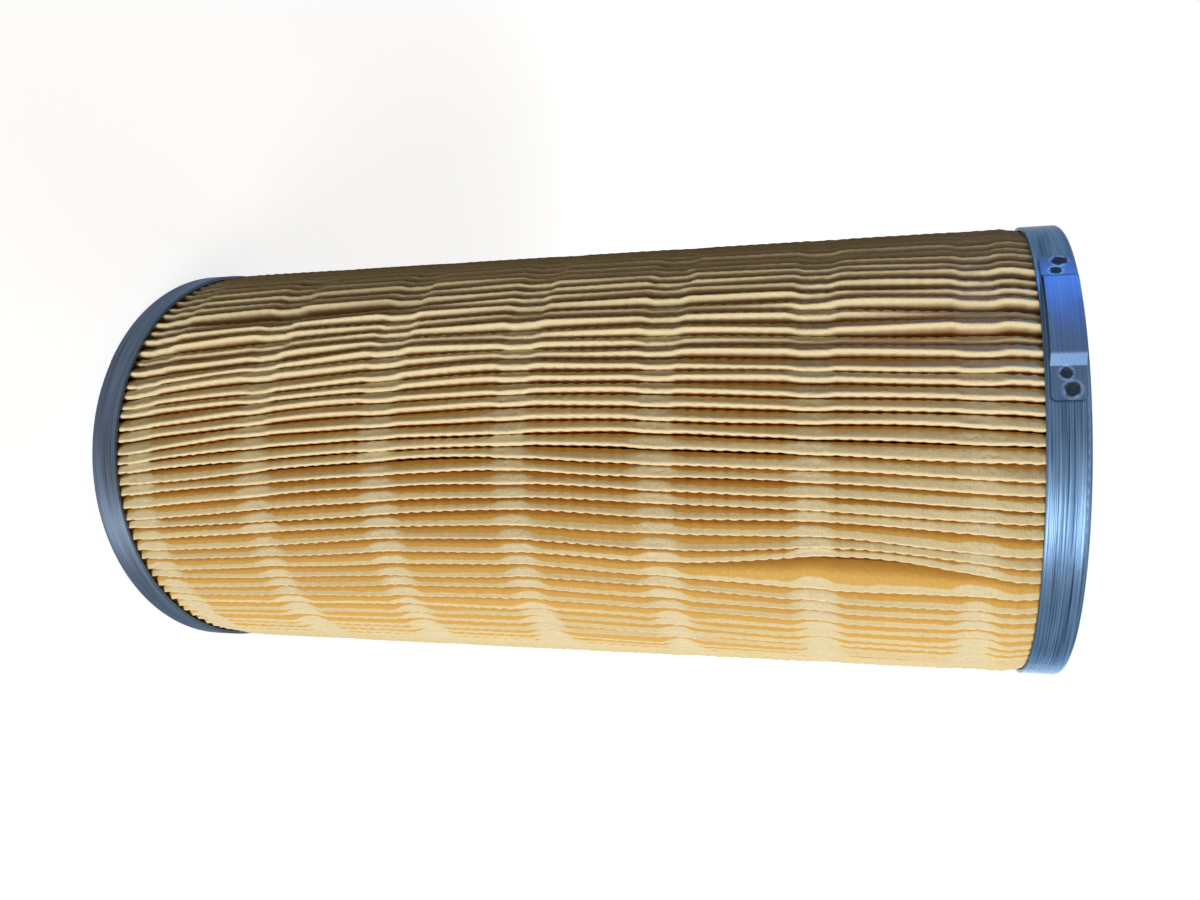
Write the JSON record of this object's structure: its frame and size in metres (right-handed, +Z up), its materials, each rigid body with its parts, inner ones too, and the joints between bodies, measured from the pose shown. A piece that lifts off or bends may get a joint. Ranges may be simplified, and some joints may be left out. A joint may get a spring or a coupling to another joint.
{
  "type": "coalescing filter element",
  "caption": "Cylindrical pleated coalescing filter element with pressed steel end caps, a perforated centre tube, flat face gaskets and lifting loops.",
  "frame": {"origin": "middle of the lower gasket's face, where the element stands", "axes": "+Z up along the element's axis, from the lower cap to the cap with the strap loops; -Y towards one strap loop"},
  "size_m": [0.15, 0.1568, 0.329],
  "materials": {
    "pleated_paper": "resin treated filter paper, dull, finely corrugated",
    "glass_fibre": "felted fibre, dull",
    "tube_steel": "plain plated sheet",
    "cap_steel": "bare pressed sheet, fine marks round the rim",
    "adhesive": "cured, smooth",
    "gasket_rubber": "dull black",
    "strap_steel": "smooth rolled strip"
  },
  "bodies": {
    "root": {"pleated_media": "pleated_paper", "coalescing_sleeve": "glass_fibre", "center_tube": "tube_steel", "bottom_end_cap": "cap_steel", "top_end_cap": "cap_steel", "bottom_adhesive_bed": "adhesive", "top_adhesive_bed": "adhesive", "bottom_gasket": "gasket_rubber", "top_gasket": "gasket_rubber", "lift_loop_front": "strap_steel", "lift_loop_rear": "strap_steel"}
  },
  "joints": []
}
